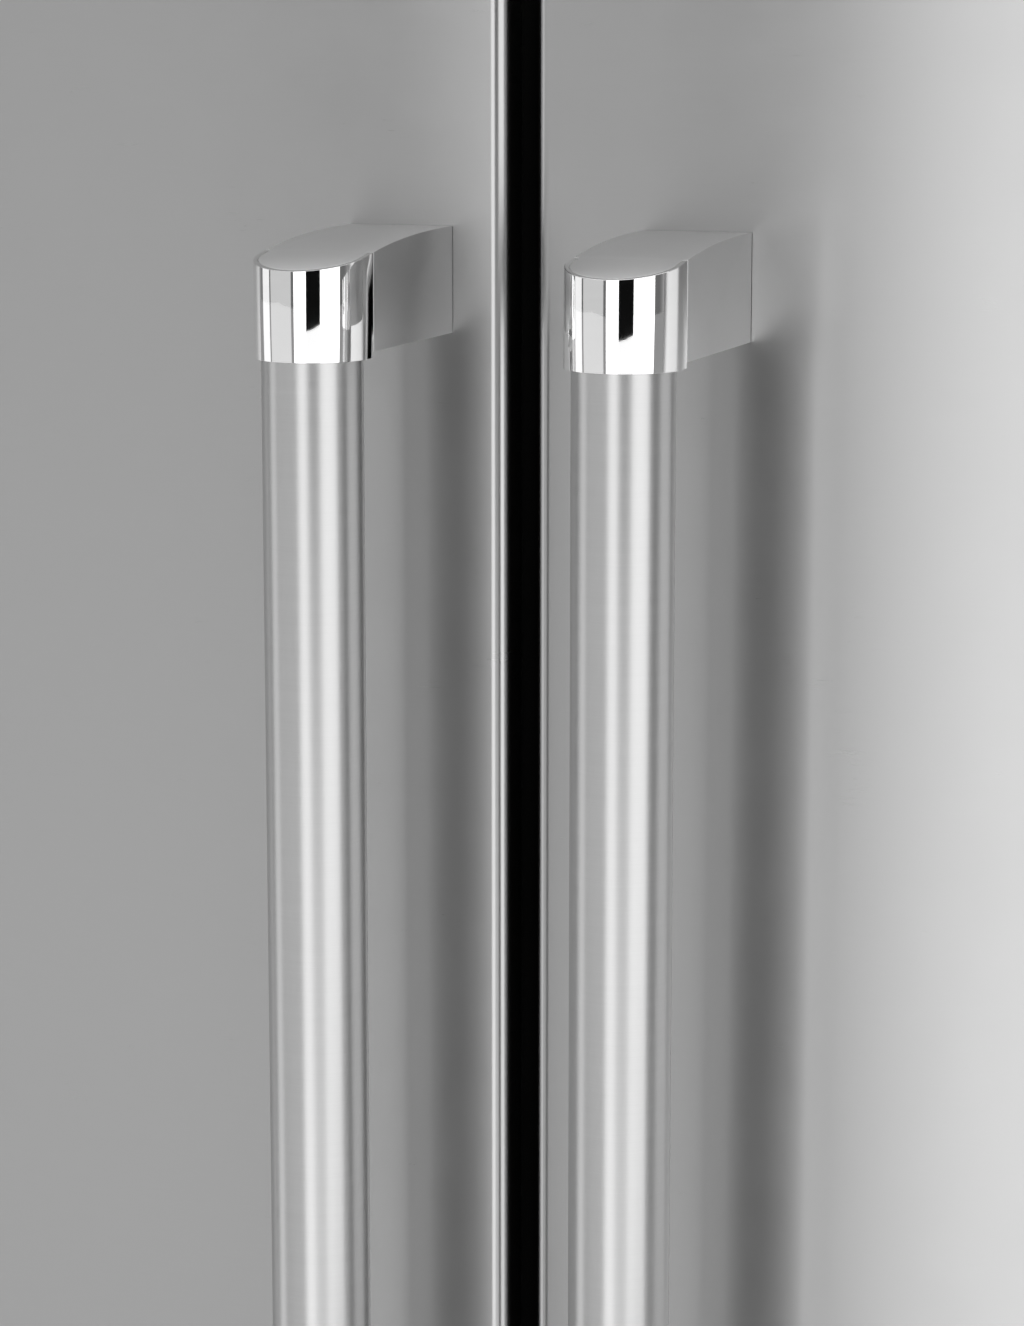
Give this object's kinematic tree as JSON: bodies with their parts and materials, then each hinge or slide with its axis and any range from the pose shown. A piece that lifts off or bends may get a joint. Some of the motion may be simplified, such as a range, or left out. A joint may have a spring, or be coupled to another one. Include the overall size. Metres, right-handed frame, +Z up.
{
  "type": "french door refrigerator",
  "caption": "French door refrigerator: hinged stainless doors over a pull-out freezer drawer, round bar handles on banded brackets, shelves, door bins and crispers inside.",
  "frame": {"origin": "on the floor under the middle of the whole closed refrigerator", "axes": "+Z up, -Y out of the doors' front, +X to the right of someone facing the doors"},
  "size_m": [0.908, 0.7994, 1.7823],
  "materials": {
    "stainless": "satin",
    "satin_cast": "satin",
    "polished_chrome": "polished",
    "white_plastic": "satin",
    "gasket_rubber": "matte",
    "clear_plastic": "gloss",
    "shelf_glass": "gloss",
    "painted_grey": "satin",
    "black_plastic": "matte",
    "insulation_foam": "matte",
    "compressor_paint": "gloss",
    "coil_aluminium": "satin",
    "galvanised_steel": "satin"
  },
  "bodies": {
    "cabinet": {"base_frame": "galvanised_steel", "cabinet_foam": "insulation_foam", "cabinet_wrapper": "painted_grey", "compressor": "compressor_paint", "condenser": "coil_aluminium", "control_panel": "white_plastic", "crisper_cover": "shelf_glass", "evaporator_module": "white_plastic", "inner_liner": "white_plastic", "left_centre_hinge": "galvanised_steel", "left_hinge_cover": "painted_grey", "left_shelves": "shelf_glass", "left_top_hinge": "galvanised_steel", "machine_cover": "galvanised_steel", "rear_panel": "galvanised_steel", "right_centre_hinge": "galvanised_steel", "right_hinge_cover": "painted_grey", "right_shelves": "shelf_glass", "right_top_hinge": "galvanised_steel", "toe_grille": "black_plastic"},
    "left_door": {"left_door_gasket": "gasket_rubber", "left_door_liner": "white_plastic", "left_door_skin": "stainless", "left_handle_bar": "stainless", "left_handle_lower_band": "polished_chrome", "left_handle_lower_bracket": "satin_cast", "left_handle_upper_band": "polished_chrome", "left_handle_upper_bracket": "satin_cast", "left_lower_bin": "clear_plastic", "left_upper_bin": "clear_plastic"},
    "right_door": {"right_door_gasket": "gasket_rubber", "right_door_liner": "white_plastic", "right_door_skin": "stainless", "right_handle_bar": "stainless", "right_handle_lower_band": "polished_chrome", "right_handle_lower_bracket": "satin_cast", "right_handle_upper_band": "polished_chrome", "right_handle_upper_bracket": "satin_cast", "right_lower_bin": "clear_plastic", "right_upper_bin": "clear_plastic"},
    "mullion": {"mullion": "black_plastic"},
    "freezer_drawer": {"drawer_gasket": "gasket_rubber", "drawer_handle_bar": "stainless", "drawer_handle_left_band": "polished_chrome", "drawer_handle_left_bracket": "satin_cast", "drawer_handle_right_band": "polished_chrome", "drawer_handle_right_bracket": "satin_cast", "drawer_liner": "white_plastic", "drawer_rail_frame": "galvanised_steel", "drawer_skin": "stainless", "freezer_basket": "white_plastic"},
    "freezer_tray": {"freezer_tray": "white_plastic"},
    "left_crisper": {"left_crisper": "clear_plastic"},
    "left_rear_roller": {"left_rear_roller": "black_plastic"},
    "left_levelling_leg": {"left_levelling_leg": "galvanised_steel"},
    "right_crisper": {"right_crisper": "clear_plastic"},
    "right_rear_roller": {"right_rear_roller": "black_plastic"},
    "right_levelling_leg": {"right_levelling_leg": "galvanised_steel"},
    "condenser_fan": {"condenser_fan": "black_plastic"},
    "evaporator_fan": {"evaporator_fan": "black_plastic"}
  },
  "joints": [
    {"name": "left_door_hinge", "type": "hinge", "parent": "cabinet", "child": "left_door", "pos_m": [-0.44, -0.2943, 0], "axis": [0, 0, -1], "range_deg": [0, 120]},
    {"name": "right_door_hinge", "type": "hinge", "parent": "cabinet", "child": "right_door", "pos_m": [0.44, -0.2943, 0], "axis": [0, 0, 1], "range_deg": [0, 120]},
    {"name": "mullion_hinge", "type": "hinge", "parent": "left_door", "child": "mullion", "pos_m": [-0.0414, -0.2388, 0], "axis": [0, 0, -1], "range_deg": [0, 90]},
    {"name": "freezer_drawer_slide", "type": "slide", "parent": "cabinet", "child": "freezer_drawer", "axis": [0, -1, 0], "range_m": [0, 0.3]},
    {"name": "freezer_tray_slide", "type": "slide", "parent": "cabinet", "child": "freezer_tray", "axis": [0, -1, 0], "range_m": [0, 0.26]},
    {"name": "left_crisper_slide", "type": "slide", "parent": "cabinet", "child": "left_crisper", "axis": [0, -1, 0], "range_m": [0, 0.24]},
    {"name": "right_crisper_slide", "type": "slide", "parent": "cabinet", "child": "right_crisper", "axis": [0, -1, 0], "range_m": [0, 0.24]},
    {"name": "left_roller_spin", "type": "hinge", "parent": "cabinet", "child": "left_rear_roller", "pos_m": [-0.427, 0.3397, 0.025], "axis": [1, 0, 0], "continuous": true},
    {"name": "left_leg_screw", "type": "slide", "parent": "cabinet", "child": "left_levelling_leg", "axis": [0, 0, -1], "range_m": [0, 0.015]},
    {"name": "right_roller_spin", "type": "hinge", "parent": "cabinet", "child": "right_rear_roller", "pos_m": [0.427, 0.3397, 0.025], "axis": [1, 0, 0], "continuous": true},
    {"name": "right_leg_screw", "type": "slide", "parent": "cabinet", "child": "right_levelling_leg", "axis": [0, 0, -1], "range_m": [0, 0.015]},
    {"name": "condenser_fan_spin", "type": "hinge", "parent": "cabinet", "child": "condenser_fan", "pos_m": [0.012, 0.2822, 0.12], "axis": [1, 0, 0], "continuous": true},
    {"name": "evaporator_fan_spin", "type": "hinge", "parent": "cabinet", "child": "evaporator_fan", "pos_m": [0, 0.2647, 0.58], "axis": [0, 1, 0], "continuous": true}
  ],
  "couplings": [
    {"joint": "left_crisper_slide", "follows": "left_door_hinge", "m_per_rad": 0.11},
    {"joint": "right_crisper_slide", "follows": "right_door_hinge", "m_per_rad": 0.11},
    {"joint": "freezer_tray_slide", "follows": "freezer_drawer_slide", "ratio": 0.8}
  ]
}
